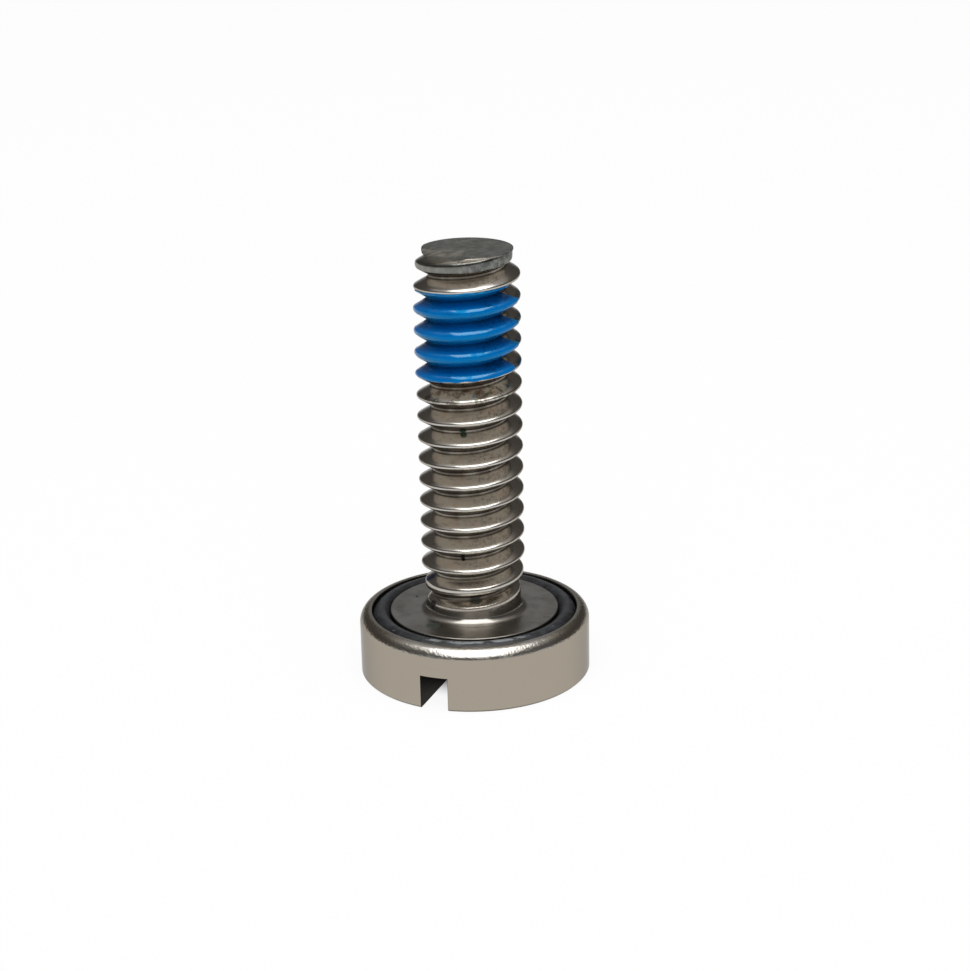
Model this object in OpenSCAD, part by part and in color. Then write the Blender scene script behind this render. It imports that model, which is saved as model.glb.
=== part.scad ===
// Self-sealing slotted machine screw: a stainless screw with a rubber ring
// let into the underside of its head and a blue nylon locking patch on its thread.
// It stands on its slotted head; the screw axis is Z and the thread points up.

/* [Head] */
// outside diameter of the head
head_d = 13.5; // [13.4:0.05:14.5]
// height of the head, slotted face to bearing face
head_h = 3.75; // [3.4:0.05:4.5]
// bevel on the edge of the slotted face
edge_bevel = 0.1; // [0.05:0.05:0.5]
// rounding of the rim around the bearing face
rim_round = 0.55; // [0.2:0.05:0.6]

/* [Drive slot] */
// width of the slot
slot_w = 1.65; // [1.2:0.05:2.2]
// depth of the slot below the slotted face
slot_depth = 2; // [1.4:0.1:2.4]
// direction of the slot, in degrees from +X
slot_dir = 69; // [0:0.2:180]

/* [Sealing ring] */
// inside diameter of the rubber ring
ring_inner_d = 9.88; // [9.2:0.02:9.9]
// thickness of the ring's round section
ring_d = 1.06; // [0.9:0.02:1.2]
// height the ring stands proud of the bearing face
ring_proud = 0.06; // [0.04:0.02:0.4]
// clearance of the ring at the groove's floor and inner wall
ring_gap = 0.01; // [0.005:0.005:0.03]
// clearance of the ring at the groove's outer wall
ring_play = 0.03; // [0.01:0.01:0.06]
// bevel on both edges of the groove
groove_bevel = 0.06; // [0.02:0.02:0.1]

/* [Shank] */
// length from the bearing face to the end of the thread
shank_len = 21.55; // [15:0.05:30]
// diameter of the plain neck under the thread
neck_d = 5.45; // [5.2:0.05:5.6]
// fillet between the neck and the bearing face
neck_fillet = 0.5; // [0.3:0.05:0.6]
// diameter of the flat end
end_d = 5.3; // [4.8:0.05:5.6]
// thickness of the lip around the flat end, at its edge
lip_edge = 0.06; // [0.04:0.02:0.2]
// height from the flat end to the foot of the lip
lip_h = 0.55; // [0.3:0.05:0.7]
// distance from the axis at which the sloping facet of the end begins
facet_offset = 1.4; // [0.8:0.1:2]
// slope of the facet, in degrees
facet_tilt = 16; // [4:1:18]
// direction the facet slopes down to, in degrees from +X
facet_dir = 213; // [0:1:359]

/* [Thread] */
// diameter over the crests
thread_d = 6.1; // [5.9:0.05:6.3]
// pitch, 20 threads to the inch
pitch = 1.27; // [1.15:0.01:1.4]
// height of the thread, crest to root
thread_depth = 0.86; // [0.6:0.02:0.92]
// width of the flat on the crest
crest_flat = 0.06; // [0.04:0.01:0.12]
// angle between the two flanks
flank_angle = 60; // [55:1:62]
// direction in which the crest reaches the end, in degrees from +X
start_dir = 49; // [0:1:359]
// how far the crest is cut down where it reaches the end
lead_cut = 0.5; // [0.3:0.05:0.6]
// turns over which the crest grows to its full height
lead_turns = 0.85; // [0.5:0.05:1.5]
// height above the bearing face where the crests begin to rise out of the neck
rise_start = 1.3; // [1:0.1:2]
// turns over which the crests rise
rise_turns = 1.15; // [0.8:0.05:2]
// height above the bearing face where the roots begin to sink into the neck
sink_start = 0.7; // [0.6:0.05:1]
// turns over which the roots sink
sink_turns = 0.5; // [0.3:0.05:1]

/* [Locking patch] */
// direction the middle of the patch faces, in degrees from +X
patch_dir = 255; // [0:5:355]
// part of the circumference the patch covers, in degrees
patch_arc = 170; // [90:10:270]
// number of the crest that the patch begins under, counted from the end
patch_start = 2; // [2:1:5]
// number of pitches covered
patch_turns = 4; // [2:1:6]
// film thickness on the crests
film_crest = 0.05; // [0.03:0.01:0.1]
// film thickness in the roots
film_root = 0.13; // [0.08:0.01:0.2]
// clearance between the film and the thread
film_gap = 0.004; // [0.002:0.001:0.01]

/* [Hidden] */
$fn = 96;
facets = 36;
head_r = head_d / 2;
neck_r = neck_d / 2;
thread_r = thread_d / 2;
root_r = thread_r - thread_depth;
total_h = head_h + shank_len;
ring_r = ring_inner_d / 2 + ring_d / 2;
groove_in = ring_inner_d / 2 - ring_gap;
groove_out = ring_inner_d / 2 + ring_d + ring_play;
groove_z = head_h - ring_d + ring_proud - ring_gap;
flank_slope = tan(flank_angle / 2);
flank_run = thread_depth * flank_slope;
// the crest is never cut down further than this share of the thread's height
most_cut = 0.9;
// the thread's core reaches down into the head and is a little wider than the fillet's neck
core_sink = 0.6;
core_wider = 0.03;
core_z = head_h - core_sink;
core_r = neck_r + core_wider;
// how far a cut runs past the face it opens, and a joined piece into its neighbour
past = 0.2;
turns_below = ceil((total_h - core_z) / pitch) + 2;
steps = facets * (turns_below + 2);

// how far the thread is formed at height z: 0 on the neck, 1 on the full thread
function formed(z, start, turns) = min(1, max(0, (z - head_h - start) / (turns * pitch)));
// height of the crest's middle after i steps along the helix
function crest_z(i) = total_h + pitch * (i / facets - turns_below);
// how far the crest is cut down near the end, and how far it has still to rise near the neck
function lead_at(z) =
    min(most_cut * thread_depth, lead_cut * (1 - (total_h - z) / (lead_turns * pitch)));
function cut_at(z) =
    max(0, lead_at(z), (thread_r - core_r) * (1 - formed(z, rise_start, rise_turns)));
// the four corners of the profile in one pitch: two on the crest, two on the root
function corner_z(i, j) =
    let (half = crest_flat / 2 + cut_at(crest_z(i)) * flank_slope)
    crest_z(i) + (j == 0 ? -half
        : j == 1 ? half
        : j == 2 ? crest_flat / 2 + flank_run
        : pitch - crest_flat / 2 - flank_run);
function corner_r(i, j) =
    j < 2 ? thread_r - cut_at(crest_z(i))
        : core_r + (root_r - core_r) * formed(crest_z(i) + pitch / 2, sink_start, sink_turns);
function corner_at(i, j, grow) =
    let (r = corner_r(i, j) + grow, a = start_dir + 360 * i / facets)
    [r * cos(a), r * sin(a), corner_z(i, j)];

// helical thread with its core, both ends left ragged for trimming
module thread_coil() {
    low = (steps + 1) * 4;
    high = low + 1;
    last = steps - facets;
    pts = concat(
        [for (i = [0:steps], j = [0:3]) corner_at(i, j, 0)],
        [[0, 0, crest_z(0) + pitch / 2], [0, 0, crest_z(steps) - pitch / 2]]);
    sides = [for (i = [0:steps - 1], j = [0:3])
        if (j < 3 || i < last)
            let (a = 4 * i + j, d = j < 3 ? a + 1 : 4 * (i + facets))
            [a, d, d + 4, a + 4]];
    tri_sides = [for (q = sides) each [[q[0], q[1], q[2]], [q[0], q[2], q[3]]]];
    low_cap = concat(
        [for (i = [0:facets - 1]) [4 * i, 4 * i + 4, low]],
        [for (j = [0:2]) [j + 1, j, low]],
        [[4 * facets, 3, low]]);
    high_cap = concat(
        [for (i = [last:steps - 1]) [4 * i + 7, 4 * i + 3, high]],
        [for (j = [0:2]) [4 * steps + j, 4 * steps + j + 1, high]],
        [[4 * last + 3, 4 * steps, high]]);
    polyhedron(points = pts, faces = concat(tri_sides, low_cap, high_cap), convexity = 10);
}

// cylinder the thread is trimmed to, with a flat foot inside the head
module thread_trim() {
    translate([0, 0, core_z])
        cylinder(h = total_h - core_z, r = thread_r + past);
}

// thin lip that rolling leaves around the flat end, above the first groove
module end_lip() {
    end_r = end_d / 2;
    rotate_extrude()
        polygon([
            [0, total_h - lip_h],
            [root_r - past, total_h - lip_h],
            [end_r, total_h - lip_edge],
            [end_r, total_h + past],
            [0, total_h + past]]);
}

// tool that slopes one side of the end, where the blank was sheared
module facet_cut() {
    rotate([0, 0, facet_dir])
        translate([facet_offset, 0, total_h])
            rotate([0, facet_tilt, 0])
                translate([-past, -thread_d, 0])
                    cube([thread_d, 2 * thread_d, thread_d]);
}

// section of the head: bevel, rounded rim, ring groove, and the fillet up to the neck
module head_section() {
    difference() {
        union() {
            polygon([
                [0, 0],
                [head_r - edge_bevel, 0],
                [head_r, edge_bevel],
                [head_r, head_h - rim_round],
                [head_r - rim_round, head_h],
                [0, head_h]]);
            translate([head_r - rim_round, head_h - rim_round])
                circle(rim_round);
        }
        polygon([
            [groove_in - groove_bevel, head_h + past],
            [groove_in - groove_bevel, head_h],
            [groove_in, head_h - groove_bevel],
            [groove_in, groove_z],
            [groove_out, groove_z],
            [groove_out, head_h - groove_bevel],
            [groove_out + groove_bevel, head_h],
            [groove_out + groove_bevel, head_h + past]]);
    }
    difference() {
        translate([0, head_h - past])
            square([neck_r + neck_fillet, neck_fillet + past]);
        translate([neck_r + neck_fillet, head_h + neck_fillet])
            circle(neck_fillet);
    }
}

// the screw, headed and thread-rolled from one piece of stainless wire
module screw() {
    color([0.62, 0.6, 0.56]) {
        difference() {
            rotate_extrude()
                head_section();
            rotate([0, 0, slot_dir])
                translate([-head_d, -slot_w / 2, -past])
                    cube([2 * head_d, slot_w, slot_depth + past]);
        }
        difference() {
            intersection() {
                union() {
                    thread_coil();
                    end_lip();
                }
                thread_trim();
            }
            facet_cut();
        }
    }
}

// moulded rubber ring, pressed into the groove
module o_ring() {
    color([0.13, 0.13, 0.15])
        translate([0, 0, groove_z + ring_gap + ring_d / 2])
            rotate_extrude()
                translate([ring_r, 0])
                    circle(ring_d / 2);
}

// nylon film fused onto one side of the thread, thin on the crests and thick in the roots
module lock_patch() {
    first = round((patch_dir - patch_arc / 2 - start_dir) * facets / 360);
    wide = round(patch_arc * facets / 360);
    tall = 4 * patch_turns;
    base = first - facets * floor(first / facets)
        + facets * (turns_below - patch_start - patch_turns);
    size = (wide + 1) * (tall + 1);
    function film_at(a, n, out) =
        let (j = n % 4, i = base + a + facets * floor(n / 4),
            edge = a == 0 || a == wide || n == 0 || n == tall,
            film = edge ? film_crest / 2 : j < 2 ? film_crest : film_root)
        corner_at(i, j, film_gap + (out ? film : 0));
    pts = concat(
        [for (n = [0:tall], a = [0:wide]) film_at(a, n, true)],
        [for (n = [0:tall], a = [0:wide]) film_at(a, n, false)]);
    row = wide + 1;
    outer = [for (n = [0:tall - 1], a = [0:wide - 1])
        let (p = n * row + a)
        each [[p, p + row, p + row + 1], [p, p + row + 1, p + 1]]];
    inner = [for (f = outer) [f[0] + size, f[2] + size, f[1] + size]];
    ends = [for (a = [0:wide - 1])
        let (b = a, t = tall * row + a)
        each [[b, b + 1, b + 1 + size], [b, b + 1 + size, b + size],
            [t + 1, t, t + size], [t + 1, t + size, t + 1 + size]]];
    flanks = [for (n = [0:tall - 1])
        let (l = n * row, r = n * row + wide)
        each [[l + row, l, l + size], [l + row, l + size, l + row + size],
            [r, r + row, r + row + size], [r, r + row + size, r + size]]];
    color([0, 0.39, 0.7])
        polyhedron(points = pts, faces = concat(outer, inner, ends, flanks), convexity = 10);
}

screw();
o_ring();
lock_patch();
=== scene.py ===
import math
import bmesh
import bpy
from mathutils import Matrix, Vector, noise


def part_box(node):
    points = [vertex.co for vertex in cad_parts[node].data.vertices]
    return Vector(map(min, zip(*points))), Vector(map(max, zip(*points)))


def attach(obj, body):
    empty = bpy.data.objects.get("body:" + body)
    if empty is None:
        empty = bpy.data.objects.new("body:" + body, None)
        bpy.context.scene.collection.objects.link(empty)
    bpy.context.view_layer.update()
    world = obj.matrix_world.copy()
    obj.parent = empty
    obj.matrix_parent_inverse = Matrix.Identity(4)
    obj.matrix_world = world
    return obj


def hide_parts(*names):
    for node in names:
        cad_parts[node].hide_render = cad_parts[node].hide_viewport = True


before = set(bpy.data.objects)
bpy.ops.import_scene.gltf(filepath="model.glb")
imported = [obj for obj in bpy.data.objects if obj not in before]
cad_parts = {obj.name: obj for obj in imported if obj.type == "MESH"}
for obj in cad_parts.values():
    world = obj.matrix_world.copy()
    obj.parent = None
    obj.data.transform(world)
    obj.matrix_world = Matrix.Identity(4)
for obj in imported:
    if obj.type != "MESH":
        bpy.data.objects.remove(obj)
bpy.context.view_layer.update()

MM = 0.001
low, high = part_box("screw")
HEAD_R = (high.x - low.x) / 2 / MM
TOTAL_H = high.z / MM
HEAD_H = 3.75
EDGE_BEVEL = 0.1
RIM_ROUND = 0.68
RIM_STEPS = 14
SLOT_W = 1.65
SLOT_DEPTH = 2.0
SLOT_DIR = 69
GROOVE_IN = 4.93
GROOVE_OUT = 6.03
GROOVE_Z = 2.74
GROOVE_BEVEL = 0.025
NECK_R = 2.725
NECK_FILLET = 0.5
FILLET_STEPS = 12
END_R = 2.65
LIP_EDGE = 0.06
LIP_H = 0.55
LIP_FOOT = 0.2
OVERRUN = 0.2
FACET_OFFSET = 1.4
FACET_TILT = 16
FACET_DIR = 213
SHEAR_SIZE = (6, 12, 6)
SHEAR_PLACE = (2.8, 0, 3)
PITCH = 1.27
START_DIR = 49
ROOT_R = 2.19
CREST_ROUND = 0.13
CREST_ARC = 56
CREST_STEPS = 4
CREST_H = 0.83
FLANK_ROWS = ((0.07, 33), (0.07, 32.4), (0.08, 31.6), (0.09, 30.6),
              (0.1, 29.6), (0.1, 28.8), (0.1, 28.4), (0.07, 28))
ROOT_ROWS = [(0.555, 0.028), (0.575, 0.004)]
FLANK_SLOPE = math.tan(math.radians(30))
FLANK_END = 0.56
LEAD_CUT = 0.5
LEAD_TURNS = 0.85
LEAD_LIMIT = 0.9
WEAR = ((0.016, 1.7), (0.008, 5.3))
WEAR_R = 3
CORE_R = NECK_R + 0.03
CORE_Z = HEAD_H - 0.6
RISE_Z = HEAD_H + 1.3
RISE_TURNS = 1.15
SINK_Z = HEAD_H + 0.7
SINK_TURNS = 0.5
COIL_STEPS = 120
COIL_SPARE = 2
LATHE_STEPS = 192
STOP = 0.025
SHARP_ANGLE = 32


def arc(centre_r, centre_z, radius, start, end, count):
    """Points (r, z) of a round stretch of a turned outline; angles in degrees from outward."""
    turn = [math.radians(start + (end - start) * i / count) for i in range(count + 1)]
    return [(centre_r + radius * math.cos(a), centre_z + radius * math.sin(a)) for a in turn]


def with_stops(outline):
    """The same outline with an extra point close to each end of its long straight stretches."""
    points = [outline[0]]
    for (r0, z0), (r1, z1) in zip(outline, outline[1:]):
        length = math.hypot(r1 - r0, z1 - z0)
        if length > 4 * STOP:
            for share in (STOP / length, 1 - STOP / length):
                points.append((r0 + (r1 - r0) * share, z0 + (z1 - z0) * share))
        points.append((r1, z1))
    return points


def as_object(name, shape):
    """Turns a bmesh into an object in the scene."""
    mesh = bpy.data.meshes.new(name)
    shape.to_mesh(mesh)
    shape.free()
    piece = bpy.data.objects.new(name, mesh)
    bpy.context.scene.collection.objects.link(piece)
    return piece


def lathe(name, outline):
    """Closed turned solid from an outline (r, z) in millimetres that runs from axis to axis."""
    shape = bmesh.new()
    way_round = [2 * math.pi * i / LATHE_STEPS for i in range(LATHE_STEPS)]
    rings = []
    for r, z in outline:
        turned = [(r * math.cos(a) * MM, r * math.sin(a) * MM, z * MM) for a in way_round]
        rings.append([shape.verts.new(place) for place in (turned if r else [(0, 0, z * MM)])])
    for below, above in zip(rings, rings[1:]):
        for i in range(LATHE_STEPS):
            corners = [below[i % len(below)], below[(i + 1) % len(below)],
                       above[(i + 1) % len(above)], above[i % len(above)]]
            shape.faces.new(list(dict.fromkeys(corners)))
    return as_object(name, shape)


def block(name, size, move, *turns):
    """A box tool in millimetres: sized and moved, then turned and moved again, step by step."""
    shape = bmesh.new()
    bmesh.ops.create_cube(shape, size=MM)
    bmesh.ops.scale(shape, verts=shape.verts, vec=size)
    bmesh.ops.translate(shape, verts=shape.verts, vec=Vector(move) * MM)
    for axis, degrees, after in turns:
        turning = Matrix.Rotation(math.radians(degrees), 3, axis)
        bmesh.ops.rotate(shape, verts=shape.verts, matrix=turning)
        bmesh.ops.translate(shape, verts=shape.verts, vec=Vector(after) * MM)
    return as_object(name, shape)


def combine(piece, tool, operation):
    """Cuts, trims or joins a piece with a tool solid, and removes the tool."""
    step = piece.modifiers.new("step", "BOOLEAN")
    step.operation = operation
    step.solver = "MANIFOLD"
    step.object = tool
    bpy.context.view_layer.update()
    ready = piece.evaluated_get(bpy.context.evaluated_depsgraph_get())
    done = bpy.data.meshes.new_from_object(ready)
    piece.modifiers.remove(step)
    piece.data = done
    bpy.data.objects.remove(tool)


def shade(piece, angle=SHARP_ANGLE):
    """Smooth shading with hard edges where faces meet at more than this angle."""
    shape = bmesh.new()
    shape.from_mesh(piece.data)
    for face in shape.faces:
        face.smooth = True
    for edge in shape.edges:
        edge.smooth = len(edge.link_faces) == 2 and edge.calc_face_angle() < math.radians(angle)
    shape.to_mesh(piece.data)
    shape.free()


def profile():
    """One pitch of the rolled thread as (way along from the crest, height over the root)."""
    crest = [math.radians(CREST_ARC * i / CREST_STEPS) for i in range(CREST_STEPS + 1)]
    half = [(CREST_ROUND * math.sin(a), CREST_H - CREST_ROUND * (1 - math.cos(a))) for a in crest]
    for drop, lean in FLANK_ROWS:
        half.append((half[-1][0] + drop * math.tan(math.radians(lean)), half[-1][1] - drop))
    half += ROOT_ROWS
    mirrored = [(PITCH - w, h) for w, h in reversed(half[1:])]
    return half + [(PITCH / 2, 0)] + mirrored


def thread_point(turns, rise, height, grow=0):
    """Point of the thread surface, turns counted from the end face, grow along the radius."""
    crest_z = TOTAL_H + PITCH * turns
    nearest = turns if rise < PITCH / 2 else turns + 1
    lead = min(LEAD_LIMIT * CREST_H, LEAD_CUT * (1 + nearest / LEAD_TURNS))
    risen = min(1, max(0, (TOTAL_H + PITCH * nearest - RISE_Z) / (RISE_TURNS * PITCH)))
    sunk = min(1, max(0, (crest_z + PITCH / 2 - SINK_Z) / (SINK_TURNS * PITCH)))
    cut = max(0, lead, (ROOT_R + CREST_H - CORE_R) * (1 - risen))
    rounding = CREST_ROUND * math.sin(math.radians(CREST_ARC))
    off = min(rise, PITCH - rise)
    if off <= rounding:
        moved = off * (rounding + cut * FLANK_SLOPE) / rounding
    else:
        moved = off + cut * FLANK_SLOPE * max(0, FLANK_END - off) / (FLANK_END - rounding)
    rise = moved if rise < PITCH / 2 else PITCH - moved
    a = 2 * math.pi * turns + math.radians(START_DIR)
    spot = Vector((WEAR_R * math.cos(a), WEAR_R * math.sin(a), nearest * PITCH))
    worn = sum(depth * max(0, noise.noise(spot * scale)) for depth, scale in WEAR)
    worn *= (height / CREST_H) ** 2
    r = ROOT_R + height * (1 - cut / CREST_H) - worn
    r += max(0, CORE_R - r) * (1 - sunk) + grow
    return Vector((r * math.cos(a), r * math.sin(a), crest_z + rise)) * MM


def thread_coil():
    """Closed helical solid that runs past both ends of the thread, for trimming."""
    rows = profile()
    below = math.ceil((TOTAL_H - CORE_Z) / PITCH) + COIL_SPARE
    steps = COIL_STEPS * (below + COIL_SPARE)
    shape = bmesh.new()
    strip = [[shape.verts.new(thread_point(i / COIL_STEPS - below, w, h)) for w, h in rows]
             for i in range(steps + 1)]
    top = len(rows) - 1
    last = steps - COIL_STEPS
    for i, (here, ahead) in enumerate(zip(strip, strip[1:])):
        for j in range(top):
            shape.faces.new((here[j], ahead[j], ahead[j + 1], here[j + 1]))
        if i < last:
            shape.faces.new((here[top], ahead[top],
                             strip[i + 1 + COIL_STEPS][0], strip[i + COIL_STEPS][0]))
    foot = shape.verts.new((0, 0, strip[COIL_STEPS // 2][0].co.z))
    foot_loop = [column[0] for column in strip[:COIL_STEPS + 1]] + strip[0][top:0:-1]
    head = shape.verts.new((0, 0, strip[steps - COIL_STEPS // 2][top].co.z))
    head_loop = [column[top] for column in strip[:last - 1:-1]] + strip[steps][:top]
    for hub, loop in ((foot, foot_loop), (head, head_loop)):
        for a, b in zip(loop, loop[1:] + loop[:1]):
            shape.faces.new((b, a, hub))
    return as_object("thread_coil", shape)


head_outline = with_stops(
    [(0, 0), (HEAD_R - EDGE_BEVEL, 0), (HEAD_R, EDGE_BEVEL)]
    + arc(HEAD_R - RIM_ROUND, HEAD_H - RIM_ROUND, RIM_ROUND, 0, 90, RIM_STEPS)
    + [(GROOVE_OUT + GROOVE_BEVEL, HEAD_H), (GROOVE_OUT, HEAD_H - GROOVE_BEVEL),
       (GROOVE_OUT, GROOVE_Z), (GROOVE_IN, GROOVE_Z),
       (GROOVE_IN, HEAD_H - GROOVE_BEVEL), (GROOVE_IN - GROOVE_BEVEL, HEAD_H)]
    + arc(NECK_R + NECK_FILLET, HEAD_H + NECK_FILLET, NECK_FILLET, 270, 180, FILLET_STEPS)
    + [(0, HEAD_H + NECK_FILLET)])
screw = lathe("steel_screw", head_outline)
saw_size = (4 * HEAD_R, SLOT_W, 2 * SLOT_DEPTH)
saw = block("saw", saw_size, (0, 0, 0), ("Z", SLOT_DIR, (0, 0, 0)))
combine(screw, saw, "DIFFERENCE")

thread = thread_coil()
lip_outline = [(0, TOTAL_H - LIP_H), (ROOT_R - LIP_FOOT, TOTAL_H - LIP_H),
               (END_R, TOTAL_H - LIP_EDGE), (END_R, TOTAL_H + OVERRUN), (0, TOTAL_H + OVERRUN)]
combine(thread, lathe("lip", lip_outline), "UNION")
trim_outline = [(0, CORE_Z), (2 * ROOT_R, CORE_Z), (2 * ROOT_R, TOTAL_H), (0, TOTAL_H)]
combine(thread, lathe("trim", trim_outline), "INTERSECT")
shear = block("shear", SHEAR_SIZE, SHEAR_PLACE, ("Y", FACET_TILT, (FACET_OFFSET, 0, TOTAL_H)),
              ("Z", FACET_DIR, (0, 0, 0)))
combine(thread, shear, "DIFFERENCE")
combine(screw, thread, "UNION")
shade(screw)


class Wire:
    """An output of a shader tree. Arithmetic on it adds Math nodes."""

    def __init__(self, finish, socket):
        self.finish = finish
        self.socket = socket

    def math(self, operation, *terms):
        inputs = dict(enumerate((self, *terms)))
        return self.finish.node("ShaderNodeMath", {"operation": operation}, inputs)

    def __add__(self, other):
        return self.math("ADD", other)

    def __sub__(self, other):
        return self.math("SUBTRACT", other)

    def __rsub__(self, other):
        return self.finish.node("ShaderNodeMath", {"operation": "SUBTRACT"}, {0: other, 1: self})

    def __mul__(self, other):
        return self.math("MULTIPLY", other)

    def __truediv__(self, other):
        return self.math("DIVIDE", other)

    def __pow__(self, other):
        return self.math("POWER", other)

    def __abs__(self):
        return self.math("ABSOLUTE")

    __radd__ = __add__
    __rmul__ = __mul__

    def fade(self, start, end):
        """0 before start and 1 past end, with a soft step between them."""
        limits = {0: self, 1: start, 2: end, 3: 0.0, 4: 1.0}
        return self.finish.node("ShaderNodeMapRange", {"interpolation_type": "SMOOTHSTEP"}, limits)


class Finish:
    """The node tree of a material or of the room, with its nodes written as expressions."""

    def __init__(self, owner, shader="Principled BSDF"):
        owner.use_nodes = True
        self.owner = owner
        self.tree = owner.node_tree
        self.shader = self.tree.nodes[shader]

    def node(self, kind, settings, inputs, out=0):
        """Adds a node: its settings first, then the values or wires of its inputs."""
        made = self.tree.nodes.new(kind)
        for key, value in settings.items():
            setattr(made, key, value)
        for key, value in inputs.items():
            self.plug(made.inputs[key], value)
        return Wire(self, made.outputs[out])

    def plug(self, socket, value):
        """Links a wire to an input, or sets the input to a number, a vector or a colour."""
        if isinstance(value, Wire):
            self.tree.links.new(value.socket, socket)
        elif socket.type == "RGBA":
            socket.default_value = (*value, 1)
        else:
            socket.default_value = value

    def set(self, **inputs):
        """Sets the shader's own inputs; an underscore stands for a space."""
        for key, value in inputs.items():
            self.plug(self.shader.inputs[key.replace("_", " ")], value)

    def vector(self, operation, inputs, out=0):
        """A sum, a scaling or a distance of vectors."""
        return self.node("ShaderNodeVectorMath", {"operation": operation}, inputs, out)

    def parts(self, vector):
        """The x, y and z of a vector."""
        split = self.node("ShaderNodeSeparateXYZ", {}, {0: vector})
        return [Wire(self, socket) for socket in split.socket.node.outputs]

    def millimetres(self):
        """The point being shaded, in the object's frame, as a vector and as x, y, z."""
        place = self.node("ShaderNodeTexCoord", {}, {}, out="Object")
        scaled = self.vector("SCALE", {0: place, "Scale": 1 / MM})
        return scaled, *self.parts(scaled)

    def join(self, x, y, z):
        """A vector from its x, y and z."""
        return self.node("ShaderNodeCombineXYZ", {}, {0: x, 1: y, 2: z})

    def grain(self, vector, scale, detail=2.0, rough=0.5, out=0):
        """Cloudy noise between 0 and 1, or a noisy vector from its second output."""
        inputs = {"Vector": vector, "Scale": scale, "Detail": detail, "Roughness": rough}
        return self.node("ShaderNodeTexNoise", {}, inputs, out)

    def blend(self, share, first, second):
        """The first colour where the share is 0, the second where it is 1."""
        colours = {0: share, 6: first, 7: second}
        return self.node("ShaderNodeMix", {"data_type": "RGBA"}, colours, out=2)

    def bump(self, height, strength, distance, normal=None):
        """A normal tilted by a height, on top of another normal if one is given."""
        links = {"Height": height, "Strength": strength, "Distance": distance}
        if normal:
            links["Normal"] = normal
        return self.node("ShaderNodeBump", {}, links)

    def ragged(self, vector, scale, amount):
        """The same place pushed about by noise, so that what is drawn with it has uneven edges."""
        push = self.grain(vector, scale, 2.0, 0.6, out=1)
        push = self.vector("SUBTRACT", {0: push, 1: (0.5, 0.5, 0.5)})
        push = self.vector("SCALE", {0: push, "Scale": amount})
        return self.vector("ADD", {0: vector, 1: push})

    def near(self, vector, place, size):
        """1 close to a place, fading to 0 at this distance from it."""
        gap = self.vector("DISTANCE", {0: vector, 1: place}, out="Value")
        return gap.fade(size, size * 0.55)


FRONT_DIR = 270


def helix_terms(x, y, z):
    """Turn from the front, radius, and height over the nearest crest in pitches."""
    turn = x.math("ARCTAN2", y * -1.0) / (2 * math.pi)
    radius = (x * x + y * y) ** 0.5
    shift = TOTAL_H / PITCH + (FRONT_DIR - START_DIR) / 360 - 0.5
    return turn, radius, (z / PITCH - turn - shift).math("FRACT") - 0.5


steel = Finish(bpy.data.materials.new("rolled_stainless"))
spot, x, y, z = steel.millimetres()
turn, radius, over = helix_terms(x, y, z)
helix_z = z - turn * PITCH
round_x, round_y = x / radius, y / radius
on_thread = z.fade(HEAD_H + 0.5, HEAD_H + 0.8)
on_side = radius.fade(HEAD_R - 0.06, HEAD_R - 0.02)
on_rim = radius.fade(GROOVE_OUT + 0.02, GROOVE_OUT + 0.08) * z.fade(HEAD_H - 0.6, HEAD_H - 0.45)
on_land = z.fade(HEAD_H - 0.08, HEAD_H - 0.02) * z.fade(HEAD_H + 0.25, HEAD_H + 0.02) * (1 - on_rim)
slot_side = math.sin(math.radians(SLOT_DIR)), math.cos(math.radians(SLOT_DIR))
in_slot = abs(x * slot_side[0] - y * slot_side[1]).fade(SLOT_W / 2 + 0.02, SLOT_W / 2 + 0.005)
in_slot = in_slot * z.fade(SLOT_DEPTH + 0.03, SLOT_DEPTH + 0.01)
rolling = steel.grain(steel.join(round_x * 2.5, round_y * 2.5, helix_z * 20.0), 1.0, 3.0, 0.6)
turning = steel.grain(steel.join(round_x * 0.6, round_y * 0.6, radius * 22.0), 1.0, 3.0, 0.6)
cloud = steel.grain(spot, 0.8, 3.0, 0.55)
stain = steel.grain(steel.join(round_x * 3.0, round_y * 3.0, helix_z * 1.6), 1.0, 3.0, 0.6)
pepper = steel.grain(spot, 8.0, 2.0, 0.6)
BRIGHT_STEEL = (0.372, 0.330, 0.272)
FACED_STEEL = (0.360, 0.342, 0.312)
ROLLED_STEEL = (0.465, 0.430, 0.380)
WARM_STEEL = (0.445, 0.380, 0.320)
COOL_STEEL = (0.415, 0.410, 0.370)
STREAKED_STEEL = (0.240, 0.190, 0.150)
# The next colour is a painted highlight: brighter steel for the rim and the crests.
HIGHLIGHT_STEEL = (0.560, 0.540, 0.500)
# The next colour is dark grey, used for dirt and for painted shade in the thread's roots and at the
# head's foot.
GRIME_AND_PAINTED_SHADE = (0.085, 0.070, 0.052)
# The next colour is sawn steel darkened with painted shade, near black, for the slot's walls.
SAWN_AND_SHADED_STEEL = (0.035, 0.033, 0.030)
SHEARED_STEEL = (0.360, 0.350, 0.305)
TORN_STEEL = (0.190, 0.185, 0.160)
PALE_LEAD = (0.200, 0.205, 0.190)
DARK_LEAD = (0.050, 0.060, 0.058)
GREEN_STAIN = (0.070, 0.105, 0.060)
BROWN_STAIN = (0.150, 0.095, 0.070)
BLUE_SMEAR = (0.020, 0.200, 0.340)
metal = steel.blend(z.fade(HEAD_H - 0.1, HEAD_H - 0.05) * (1 - on_rim), BRIGHT_STEEL, FACED_STEEL)
metal = steel.blend(on_thread, metal, ROLLED_STEEL)
metal = steel.blend(stain.fade(0.5, 0.72) * on_thread * 0.8, metal, WARM_STEEL)
metal = steel.blend(stain.fade(0.45, 0.3) * on_thread * 0.7, metal, COOL_STEEL)
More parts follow.
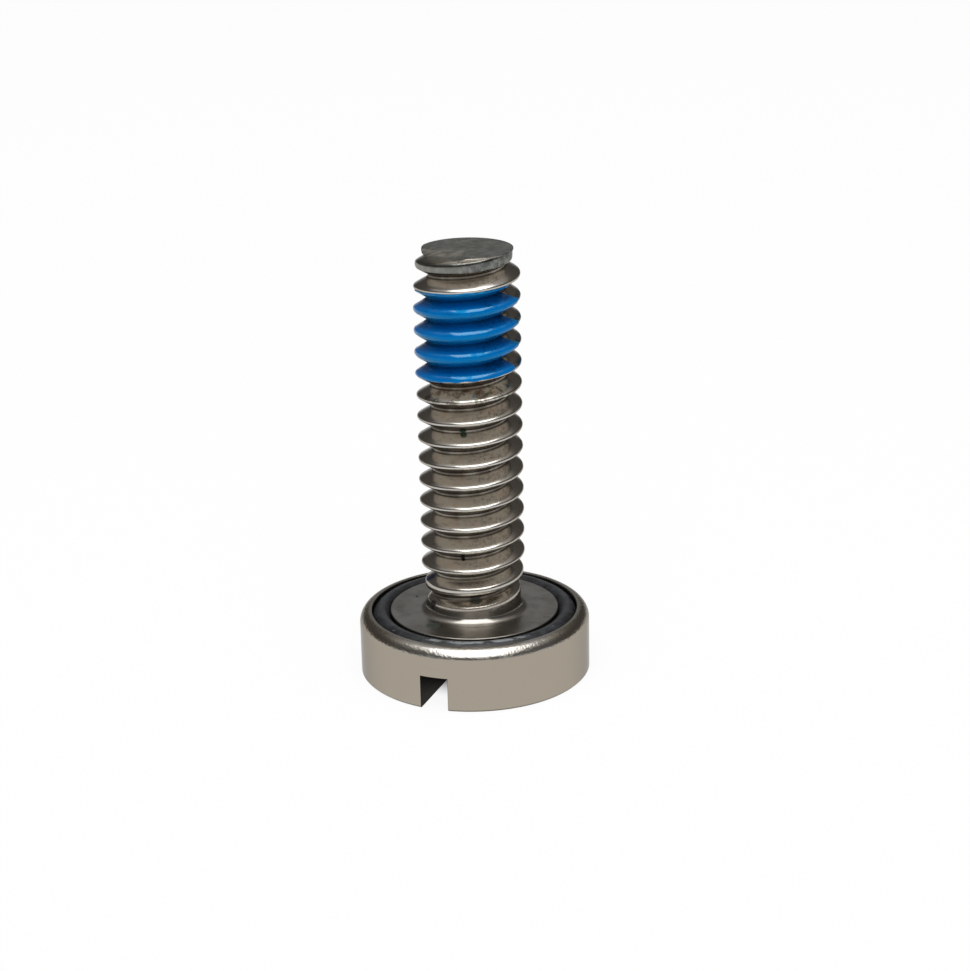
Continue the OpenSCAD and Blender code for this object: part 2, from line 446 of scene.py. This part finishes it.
streaks = steel.grain(steel.join(round_x * 4.0, round_y * 4.0, helix_z * 9.0), 1.0, 4.0, 0.65)
metal = steel.blend(streaks.fade(0.56, 0.70) * on_thread * 0.6, metal, STREAKED_STEEL)
metal = steel.blend(on_land * cloud.fade(0.4, 0.65) * 0.3, metal, GRIME_AND_PAINTED_SHADE)
on_crest = abs(over).fade(0.17, 0.1) * z.fade(HEAD_H + 1.0, HEAD_H + 1.6)
# Painted highlight: the rim and the crests get brighter steel on the front only, where the lamp's
# highlight falls.
front_highlight = round_y.fade(-0.55, -0.9) * (0.7 + cloud.fade(0.35, 0.6) * 0.3)
metal = steel.blend((on_rim + on_crest) * front_highlight, metal, HIGHLIGHT_STEEL)
# Painted shade: a dark line along the head's bottom edge.
foot_edge_shade = radius.fade(HEAD_R - 0.12, HEAD_R - 0.09) * z.fade(0.14, 0.08)
metal = steel.blend(foot_edge_shade * 0.7, metal, GRIME_AND_PAINTED_SHADE)
# Painted shade: the thread's roots are darkened, and speckled shade lies below each crest, more on
# the right; the pepper flecks are dirt.
in_root = abs(over).fade(0.385, 0.43) * on_thread
shade_below_crest = over.fade(-0.06, -0.12) * over.fade(-0.46, -0.3) * x.fade(-1.5, 1.0)
grit = steel.grain(spot, 4.5, 3.0, 0.7)
flecks = pepper.fade(0.66, 0.74) * cloud.fade(0.45, 0.6) * on_thread
flecks = flecks + shade_below_crest * grit.fade(0.52, 0.6) * on_thread
root_shade_and_flecks = in_root * (0.45 + cloud.fade(0.36, 0.6) * 0.35) + flecks * 0.6
metal = steel.blend(root_shade_and_flecks, metal, GRIME_AND_PAINTED_SHADE)
facing_up = steel.parts(steel.node("ShaderNodeTexCoord", {}, {}, out="Normal"))[2]
on_end = z.fade(TOTAL_H - 0.5, TOTAL_H - 0.45) * facing_up.fade(0.90, 0.95)
torn = steel.grain(spot, 2.2, 4.0, 0.65)
drawn = steel.grain(steel.join(x * 1.2 + y * 0.8, y * 5.0 - x * 3.0, z), 1.0, 3.0, 0.6)
sheared = steel.blend((torn + drawn).fade(0.75, 1.25), SHEARED_STEEL, TORN_STEEL)
metal = steel.blend(on_end, metal, sheared)
on_lead = (z - over * PITCH).fade(TOTAL_H - 0.95, TOTAL_H - 0.6)
on_lead = on_lead * abs(over).fade(0.27, 0.2) * (1 - on_end)
# The lead band: mottled sheared steel, with painted shade making it darker towards the right.
lead = steel.blend(torn.fade(0.36, 0.6) * (0.4 + x.fade(-1.0, 1.0) * 0.6), PALE_LEAD, DARK_LEAD)
metal = steel.blend(on_lead * 0.9, metal, lead)
STAIN_LOW, STAIN_HIGH, STAIN_EDGE = 17.0, 18.0, 0.1
below_patch = z.fade(STAIN_LOW - STAIN_EDGE, STAIN_LOW + STAIN_EDGE)
below_patch = below_patch * z.fade(STAIN_HIGH + STAIN_EDGE, STAIN_HIGH - STAIN_EDGE)
below_patch = below_patch * y.fade(-1.0, -1.7) * torn.fade(0.46, 0.58)
stained = steel.blend(cloud.fade(0.42, 0.56), GREEN_STAIN, BROWN_STAIN)
metal = steel.blend(below_patch * 0.75, metal, stained)
SMEAR_LOW, SMEAR_HIGH, SMEAR_EDGE = 18.4, 23.0, 0.1
beside_patch = z.fade(SMEAR_LOW - SMEAR_EDGE, SMEAR_LOW + SMEAR_EDGE)
beside_patch = beside_patch * z.fade(SMEAR_HIGH + SMEAR_EDGE, SMEAR_HIGH - SMEAR_EDGE)
beside_patch = beside_patch * turn.fade(0.17, 0.19) * turn.fade(0.31, 0.21)
smear = beside_patch * over.fade(-0.30, -0.20) * over.fade(0.22, 0.12) * torn.fade(0.36, 0.54)
metal = steel.blend(smear * 0.85, metal, BLUE_SMEAR)
uneven = steel.ragged(spot, 5.0, 0.24)
SPECKS = (
    ((-0.59, -2.11, 7.62), 0.15, (0.012, 0.010, 0.010)),
    ((-0.54, -2.15, 7.52), 0.13, (0.015, 0.012, 0.010)),
    ((-0.42, -2.17, 15.33), 0.27, (0.025, 0.065, 0.035)),
    ((1.80, -1.35, 4.92), 0.32, (0.018, 0.016, 0.012)),
    ((0.10, -2.25, 4.97), 0.45, (0.110, 0.108, 0.095)),
    ((-2.47, -0.50, 5.82), 0.45, (0.040, 0.065, 0.170)),
    ((-3.38, 1.73, 3.75), 0.11, (0.020, 0.018, 0.016)),
    ((0.24, -2.72, 17.42), 0.14, (0.020, 0.200, 0.260)),
    ((-2.44, -1.30, 4.41), 0.42, (0.035, 0.032, 0.036)),
    ((-2.42, -2.83, 3.75), 0.50, (0.085, 0.105, 0.090)))
dirty = 0.0
for place, size, colour in SPECKS:
    share = steel.near(uneven, place, size) * 0.9
    metal = steel.blend(share, metal, colour)
    dirty = share + dirty
DASHES = ((-4.35, 0.25), (-4.40, 0.00), (-4.43, -0.29), (-4.35, -0.55),
          (4.07, 0.90), (4.21, -1.89), (3.65, -2.2))
DASH_SLOPE = 0.2
for dash_x, dash_y in DASHES:
    along = x - dash_x
    aside = y - dash_y + along * DASH_SLOPE
    share = abs(along).fade(0.26, 0.16) * abs(aside).fade(0.055, 0.02) * on_land
    metal = steel.blend(share * 0.55, metal, GRIME_AND_PAINTED_SHADE)
# The slot's walls: sawn steel, with painted shade making them near black.
metal = steel.blend(in_slot, metal, SAWN_AND_SHADED_STEEL)
lines = rolling * on_thread + turning * (1 - on_thread) * (1 - on_side)
WORN_EDGE = 0.07
edges = steel.node("ShaderNodeBevel", {"samples": 6}, {"Radius": WORN_EDGE * MM})
relief = steel.bump(lines, 0.14, 0.012 * MM, edges)
relief = steel.bump(pepper, 0.06 + on_rim * 0.8, 0.025 * MM, relief)
rough = 0.16 + cloud * 0.08 + root_shade_and_flecks * 0.25 + dirty * 0.3
rough = rough + in_slot * 0.35 + on_end * 0.14 + on_land * 0.12
EDGE_GLANCE = (0.6, 0.6, 0.6)
steel.set(Metallic=1.0, Specular_Tint=EDGE_GLANCE, Base_Color=metal, Roughness=rough,
          Normal=relief)
screw.data.materials.clear()
screw.data.materials.append(steel.owner)
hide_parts("screw")
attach(screw, "root")

# The sealing ring: a moulded rubber ring of round section, pressed into the groove under the
# head. It is black, a little dusty, with scuffs where it was pushed in and the mould's fine
# parting lines, and a painted glint lies along the front of its top.
ring_low, ring_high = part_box("o_ring")
RING_D = (ring_high.z - ring_low.z) / MM
RING_R = (ring_high.x - ring_low.x) / 2 / MM - RING_D / 2
RING_Z = (ring_high.z + ring_low.z) / 2 / MM
RING_SLACK = 0.012
RING_LUMPS = 0.008
PART_LINE = 0.006
PART_WIDTH = 0.06
RING_STEPS = 240
SECTION_STEPS = 40

moulded = bmesh.new()
loops = []
for i in range(RING_STEPS):
    a = 2 * math.pi * i / RING_STEPS
    loop = []
    for j in range(SECTION_STEPS):
        b = 2 * math.pi * j / SECTION_STEPS
        spot = Vector((4 * math.cos(a), 4 * math.sin(a), 2 * math.cos(b)))
        swell = -RING_SLACK + RING_LUMPS * noise.noise(spot)
        swell += PART_LINE * math.exp(-(math.sin(b) / PART_WIDTH) ** 2)
        section = RING_D / 2 + swell
        r = RING_R + section * math.cos(b)
        place = Vector((r * math.cos(a), r * math.sin(a), RING_Z + section * math.sin(b)))
        loop.append(moulded.verts.new(place * MM))
    loops.append(loop)
for here, ahead in zip(loops, loops[1:] + loops[:1]):
    for j in range(SECTION_STEPS):
        k = (j + 1) % SECTION_STEPS
        moulded.faces.new((here[j], ahead[j], ahead[k], here[k]))
ring = as_object("rubber_ring", moulded)
shade(ring)

rubber = Finish(bpy.data.materials.new("moulded_rubber"))
spot, x, y, z = rubber.millimetres()
dust = rubber.grain(spot, 1.6, 4.0, 0.6)
scuff = rubber.grain(rubber.join(x * 1.2, y * 3.5, z * 6.0), 1.0, 3.0, 0.65)
skin = rubber.grain(spot, 10.0, 3.0, 0.6)
BLACK_RUBBER = (0.010, 0.0105, 0.012)
DUSTY_RUBBER = (0.028, 0.031, 0.036)
SCUFFED_RUBBER = (0.15, 0.165, 0.185)
PAINTED_GLINT_RUBBER = (0.22, 0.23, 0.24)
colour = rubber.blend(dust.fade(0.4, 0.7), BLACK_RUBBER, DUSTY_RUBBER)
worn = scuff.fade(0.62, 0.72)
colour = rubber.blend(worn * 0.5, colour, SCUFFED_RUBBER)
ring_r = (x * x + y * y) ** 0.5
# Painted glint: light streaks along the front of the ring's top.
painted_glint = ring_r.fade(RING_R - 0.12, RING_R) * ring_r.fade(RING_R + 0.24, RING_R + 0.14)
painted_glint = painted_glint * y.fade(-4.5, -5.1) * (scuff + skin).fade(0.86, 1.06)
colour = rubber.blend(painted_glint, colour, PAINTED_GLINT_RUBBER)
relief = rubber.bump(skin, 0.5, 0.04 * MM)
relief = rubber.bump(scuff, 0.4, 0.05 * MM, relief)
rough = 0.3 + dust * 0.2 + worn * 0.2
rubber.set(Specular_IOR_Level=0.4, Base_Color=colour, Roughness=rough, Normal=relief)
ring.data.materials.append(rubber.owner)
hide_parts("o_ring")
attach(ring, "root")

# The locking patch: blue nylon powder fused onto one side of the hot thread. It is a glossy film
# that melted into a rounded bead over each crest. Towards the sides the bead shrinks to the
# steel's own rounding, and the film's ragged edges thin out to nothing.
PATCH_DIR = 255
PATCH_HALF = 89
PATCH_FIRST = 2
PATCH_PITCHES = 4
PATCH_SHIFT = 0.06
PATCH_SPARE = 14
EDGE_WANDER = 0.06
EDGE_FINE = 0.035
EDGE_FADE = 0.05
EDGE_DIP = 0.02
ROOT_SHORT = 0.22
FILM_CREST = 0.045
FILM_SWELL = 0.15
BEAD_R = 0.34
BEAD_LEAN = 32
FILM_STEPS = 240
FILM_ANGLE = 60


def film(turns, rise, height):
    """Film thickness over a point of the thread; negative where the steel is bare."""
    a = 2 * math.pi * turns
    wander = noise.noise(Vector((2.2 * math.cos(a), 2.2 * math.sin(a), 1.1 * turns)) * 2.0)
    fine = noise.noise(Vector((9 * math.cos(a), 9 * math.sin(a), 4.0 * turns + 3 * rise)))
    round_way = ((360 * turns + START_DIR) % 360 - PATCH_DIR) / PATCH_HALF
    middle = -PATCH_FIRST - PATCH_PITCHES / 2 - PATCH_SHIFT
    up = (math.floor(turns) + rise / PITCH - middle) / (PATCH_PITCHES / 2)
    reach = (abs(round_way) ** 6 + abs(up) ** 16) ** (1 / 6)
    reach = reach + EDGE_WANDER * wander + EDGE_FINE * fine
    depth = 1 - height / CREST_H
    reach += ROOT_SHORT * max(0, round_way) * depth
    cover = min(1, max(0, (1 - reach) / EDGE_FADE))
    cover = cover * cover * (3 - 2 * cover)
    off = min(rise, PITCH - rise)
    lean = math.radians(BEAD_LEAN)
    bead = CREST_ROUND + (BEAD_R - CREST_ROUND) * max(0, 1 - round_way ** 2)
    straight = max(0, off - bead * math.cos(lean))
    round_off = min(off, bead * math.cos(lean))
    fall = bead - math.sqrt(bead ** 2 - round_off ** 2) + straight / math.tan(lean)
    full = max(FILM_CREST, CREST_H + FILM_CREST - fall - height)
    return cover * full * (1 + FILM_SWELL * wander) - EDGE_DIP * (1 - cover)


rows = profile()
span = range(-PATCH_FIRST - PATCH_PITCHES - 1, -PATCH_FIRST + 1)
first_step = round(FILM_STEPS * (PATCH_DIR - START_DIR - PATCH_HALF - PATCH_SPARE) / 360)
last_step = round(FILM_STEPS * (PATCH_DIR - START_DIR + PATCH_HALF + PATCH_SPARE) / 360)
coat = bmesh.new()
columns = []
for i in range(first_step, last_step + 1):
    column = []
    for whole in span:
        for w, h in rows:
            turns = whole + i / FILM_STEPS
            thick = film(turns, w, h)
            column.append((coat.verts.new(thread_point(turns, w, h, thick)), thick))
    columns.append(column)
for left, right in zip(columns, columns[1:]):
    for j in range(len(left) - 1):
        corners = (left[j], right[j], right[j + 1], left[j + 1])
        if max(thick for vert, thick in corners) > 0:
            coat.faces.new([vert for vert, thick in corners])
bmesh.ops.delete(coat, geom=[v for v in coat.verts if not v.link_faces], context="VERTS")
patch = as_object("nylon_patch", coat)
shade(patch, FILM_ANGLE)

nylon = Finish(bpy.data.materials.new("fused_nylon"))
spot, x, y, z = nylon.millimetres()
turn, radius, over = helix_terms(x, y, z)
helix_z = z - turn * PITCH
flow = nylon.grain(nylon.join(x / radius * 5.0, y / radius * 5.0, helix_z * 9.0), 1.0, 3.0, 0.6)
blotch = nylon.grain(spot, 1.3, 3.0, 0.55)
CREST_BLUE = (0.0, 0.125, 0.410)
# The next two blues carry painted shade: one for the lower flanks, one for the roots, where the
# film also lies thicker.
SHADED_LOWER_BLUE = (0.0, 0.095, 0.280)
THICK_SHADED_ROOT_BLUE = (0.0, 0.066, 0.270)
DEEP_NAVY = (0.0, 0.025, 0.110)
EDGE_TEAL = (0.0, 0.110, 0.15)
# Painted shade: the blue darkens on the lower flanks and towards the roots, where the thicker film
# deepens it too.
colour = nylon.blend(over.fade(-0.04, -0.2), CREST_BLUE, SHADED_LOWER_BLUE)
colour = nylon.blend(over.fade(0.14, 0.34), colour, THICK_SHADED_ROOT_BLUE)
colour = nylon.blend(over.fade(-0.26, -0.42), colour, THICK_SHADED_ROOT_BLUE)
colour = nylon.blend(flow.fade(0.56, 0.72) * 0.5, colour, DEEP_NAVY)
clots = nylon.grain(spot, 2.6, 3.0, 0.6)
clotted = over.fade(0.14, 0.28) * turn.fade(0.0, 0.07)
colour = nylon.blend(clotted * (0.35 + clots.fade(0.50, 0.60) * 0.5), colour, DEEP_NAVY)
colour = nylon.blend(turn.fade(-0.08, -0.18) * over.fade(0.0, -0.1) * 0.6, colour, EDGE_TEAL)
middle = (PATCH_DIR - FRONT_DIR) / 360
rim = abs(turn - middle).fade(PATCH_HALF / 360 - 0.05, PATCH_HALF / 360)
colour = nylon.blend(rim * blotch.fade(0.35, 0.55), colour, EDGE_TEAL)
relief = nylon.bump(flow, 0.35, 0.03 * MM)
relief = nylon.bump(blotch, 0.3, 0.05 * MM, relief)
in_root = abs(over).fade(0.36, 0.44)
melted = over.fade(0.07, 0.14) * over.fade(0.36, 0.30)
melted = melted * blotch.fade(0.38, 0.50) * y.fade(-2.0, -2.4)
rough = 0.2 + flow * 0.1 + in_root * 0.4
BLUE_GLANCE = (0.05, 0.8, 1.0)
nylon.set(Specular_IOR_Level=0.7, Specular_Tint=BLUE_GLANCE, Coat_IOR=1.6, Coat_Roughness=0.08,
          Coat_Weight=melted * 0.8, Base_Color=colour, Roughness=rough, Normal=relief)
patch.data.materials.append(nylon.owner)
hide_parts("lock_patch")
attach(patch, "root")

# The stage: a white table under the screw, one wide soft light in front of and above it, and a dim
# room whose ceiling and back wall are lighter than its sides. The camera looks down on the screw.
FLOOR_SIZE = 3.0
table = bmesh.new()
bmesh.ops.create_grid(table, x_segments=1, y_segments=1, size=FLOOR_SIZE / 2)
floor = as_object("table", table)
card = Finish(bpy.data.materials.new("white_table"))
WHITE_CARD = (0.85, 0.85, 0.84)
GLOW_SHARE = 0.92
card.set(Base_Color=WHITE_CARD, Roughness=0.6)
x, y = card.millimetres()[1:3]
open_floor = ((x * x + y * y) ** 0.5).fade(2.0, 5.0)
glow = card.node("ShaderNodeEmission", {}, {"Color": (1, 1, 1), "Strength": 1.0})
rays = card.node("ShaderNodeLightPath", {}, {}).socket.node.outputs
camera_ray, glossy_ray, clear_ray = (
    Wire(card, rays["Is %s Ray" % kind]) for kind in ("Camera", "Glossy", "Transmission"))
seen = (camera_ray + glossy_ray + clear_ray).math("MINIMUM", 1.0) * open_floor * GLOW_SHARE
lit = Wire(card, card.shader.outputs[0])
mixed = card.node("ShaderNodeMixShader", {}, {0: seen, 1: lit, 2: glow})
card.plug(card.tree.nodes["Material Output"].inputs["Surface"], mixed)
floor.data.materials.append(card.owner)

room = bpy.data.worlds.new("room")
bpy.context.scene.world = room
sky = Finish(room, "Background")
across, ahead, above = sky.parts(sky.node("ShaderNodeTexCoord", {}, {}, out="Generated"))
SIDE_WALL = (0.11, 0.105, 0.10)
CEILING = (0.48, 0.465, 0.45)
BACK_WALL = (0.375, 0.392, 0.410)
tone = sky.blend(above.fade(0.62, 0.80), SIDE_WALL, CEILING)
tone = sky.blend(ahead.fade(0.7, 0.85) * abs(across).fade(0.27, 0.17), tone, BACK_WALL)
sky.set(Color=tone, Strength=1.0)

LAMP_AZIMUTH = 3
LAMP_ELEVATION = 65
LAMP_DISTANCE = 1.0
LAMP_SIZE = (1.06, 1.43)
LAMP_WATTS = 14.3
data = bpy.data.lights.new("softbox", "AREA")
data.shape = "RECTANGLE"
data.size, data.size_y = LAMP_SIZE
data.energy = LAMP_WATTS
softbox = bpy.data.objects.new("softbox", data)
azimuth, elevation = math.radians(LAMP_AZIMUTH), math.radians(LAMP_ELEVATION)
way_out = Vector((math.sin(azimuth) * math.cos(elevation),
                  -math.cos(azimuth) * math.cos(elevation), math.sin(elevation)))
softbox.location = Vector((0, 0, TOTAL_H / 2 * MM)) + way_out * LAMP_DISTANCE
softbox.rotation_euler = way_out.to_track_quat("Z", "Y").to_euler()
bpy.context.scene.collection.objects.link(softbox)

VIEW_ELEVATION = 18.5
VIEW_DISTANCE = 130.9
VIEW_ROLL = 1.232
TARGET_Z = 13.16
TARGET_PIXEL = (470.85, 454.47)
PICTURE = (970, 971)
PIXELS_PER_MM = 17.374
SENSOR_W = 36
data = bpy.data.cameras.new("camera")
data.sensor_width = SENSOR_W
data.lens = SENSOR_W * PIXELS_PER_MM * VIEW_DISTANCE / PICTURE[1]
data.clip_start = 0.005
camera = bpy.data.objects.new("camera", data)
bpy.context.scene.collection.objects.link(camera)
elevation = math.radians(VIEW_ELEVATION)
back = Vector((0, -math.cos(elevation), math.sin(elevation)))
target = Vector((0, 0, TARGET_Z))
place = target + back * VIEW_DISTANCE
roll = Matrix.Rotation(math.radians(-VIEW_ROLL), 3, "Z")
level = back.to_track_quat("Z", "Y").to_matrix() @ roll
right, up = level.col[0], level.col[1]
aim = target + right * ((PICTURE[0] / 2 - TARGET_PIXEL[0]) / PIXELS_PER_MM)
aim += up * ((TARGET_PIXEL[1] - PICTURE[1] / 2) / PIXELS_PER_MM)
turned = (place - aim).to_track_quat("Z", "Y").to_matrix() @ roll
camera.matrix_world = Matrix.Translation(place * MM) @ turned.to_4x4()
bpy.context.scene.camera = camera
bpy.context.scene.view_settings.view_transform = "Standard"
